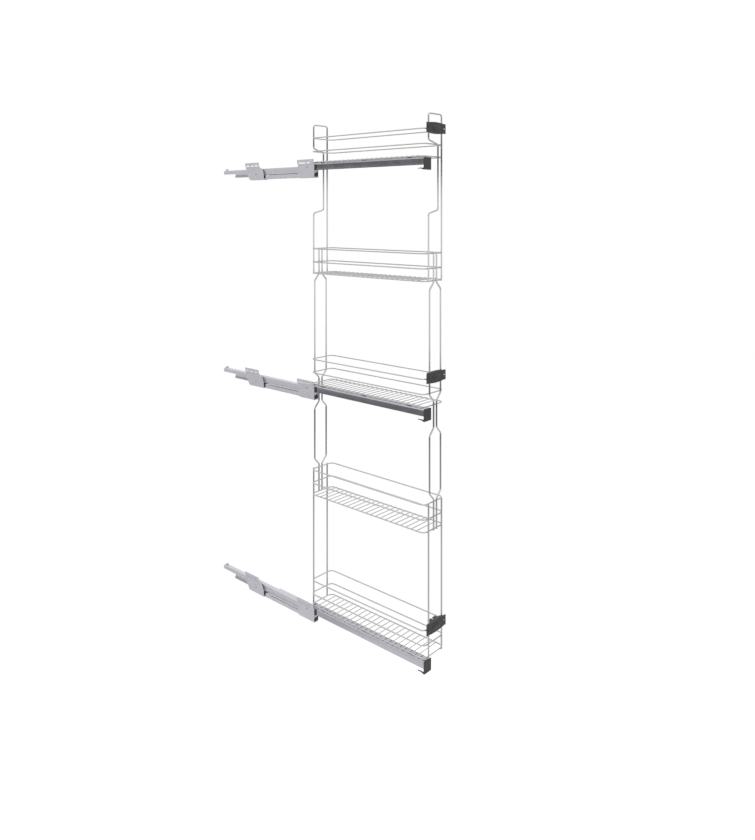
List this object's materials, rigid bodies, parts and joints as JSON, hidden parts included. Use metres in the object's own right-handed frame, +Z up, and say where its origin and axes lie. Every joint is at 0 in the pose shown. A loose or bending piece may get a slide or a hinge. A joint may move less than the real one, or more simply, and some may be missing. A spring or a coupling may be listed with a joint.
{
  "type": "pull out larder unit",
  "caption": "Tall, narrow larder pull-out: wire baskets hung between bent wire end frames, carried on telescopic side runners, with door brackets on the front.",
  "frame": {"origin": "middle of the screw flange of the lowest front bracket, on the face that lies on the cabinet's side wall", "axes": "+X across the cabinet, away from the wall that the runners are screwed to; +Y towards the back of the cabinet; +Z up"},
  "size_m": [0.1086, 0.9481, 1.6355],
  "materials": {
    "chrome_wire": "bright chrome-plated wire",
    "zinc_sheet": "zinc-plated folded sheet",
    "bright_rail": "smooth rolled steel",
    "roller_steel": "ground steel",
    "grey_plastic": "smooth moulding",
    "anthracite_plastic": "fine-grained moulding"
  },
  "bodies": {
    "wall_side": {"lower_fixed_rail": "zinc_sheet", "lower_front_bracket": "zinc_sheet", "lower_rear_bracket": "zinc_sheet", "lower_front_guide": "anthracite_plastic", "lower_damper": "grey_plastic", "middle_fixed_rail": "zinc_sheet", "middle_front_bracket": "zinc_sheet", "middle_rear_bracket": "zinc_sheet", "middle_front_guide": "anthracite_plastic", "middle_damper": "grey_plastic", "upper_fixed_rail": "zinc_sheet", "upper_front_bracket": "zinc_sheet", "upper_rear_bracket": "zinc_sheet", "upper_front_guide": "anthracite_plastic", "upper_damper": "grey_plastic"},
    "tower": {"basket_1_floor": "chrome_wire", "basket_1_middle_rail": "chrome_wire", "basket_1_top_rail": "chrome_wire", "basket_2_floor": "chrome_wire", "basket_2_middle_rail": "chrome_wire", "basket_2_top_rail": "chrome_wire", "basket_3_floor": "chrome_wire", "basket_3_middle_rail": "chrome_wire", "basket_3_top_rail": "chrome_wire", "basket_4_floor": "chrome_wire", "basket_4_middle_rail": "chrome_wire", "basket_4_top_rail": "chrome_wire", "basket_5_floor": "chrome_wire", "basket_5_middle_rail": "chrome_wire", "basket_5_top_rail": "chrome_wire", "front_hoop": "chrome_wire", "front_middle_wire_near": "chrome_wire", "front_lower_wire_near": "chrome_wire", "front_middle_wire_far": "chrome_wire", "front_lower_wire_far": "chrome_wire", "rear_hoop": "chrome_wire", "rear_middle_wire_near": "chrome_wire", "rear_lower_wire_near": "chrome_wire", "rear_middle_wire_far": "chrome_wire", "rear_lower_wire_far": "chrome_wire", "lower_carriage_rail": "bright_rail", "lower_end_cap": "anthracite_plastic", "lower_door_bracket": "anthracite_plastic", "middle_carriage_rail": "bright_rail", "middle_end_cap": "anthracite_plastic", "middle_door_bracket": "anthracite_plastic", "upper_carriage_rail": "bright_rail", "upper_end_cap": "anthracite_plastic", "upper_door_bracket": "anthracite_plastic"},
    "lower_member": {"lower_middle_member": "zinc_sheet", "lower_fixed_roller_cage": "roller_steel", "lower_moving_roller_cage": "roller_steel"},
    "middle_member": {"middle_middle_member": "zinc_sheet", "middle_fixed_roller_cage": "roller_steel", "middle_moving_roller_cage": "roller_steel"},
    "upper_member": {"upper_middle_member": "zinc_sheet", "upper_fixed_roller_cage": "roller_steel", "upper_moving_roller_cage": "roller_steel"}
  },
  "joints": [
    {"name": "pull_out", "type": "slide", "parent": "wall_side", "child": "tower", "axis": [0, 1, 0], "range_m": [0, 0.44]},
    {"name": "lower_member_slide", "type": "slide", "parent": "wall_side", "child": "lower_member", "axis": [0, 1, 0], "range_m": [0, 0.22]},
    {"name": "middle_member_slide", "type": "slide", "parent": "wall_side", "child": "middle_member", "axis": [0, 1, 0], "range_m": [0, 0.22]},
    {"name": "upper_member_slide", "type": "slide", "parent": "wall_side", "child": "upper_member", "axis": [0, 1, 0], "range_m": [0, 0.22]}
  ],
  "couplings": [
    {"joint": "lower_member_slide", "follows": "pull_out", "ratio": 0.5},
    {"joint": "middle_member_slide", "follows": "pull_out", "ratio": 0.5},
    {"joint": "upper_member_slide", "follows": "pull_out", "ratio": 0.5}
  ]
}
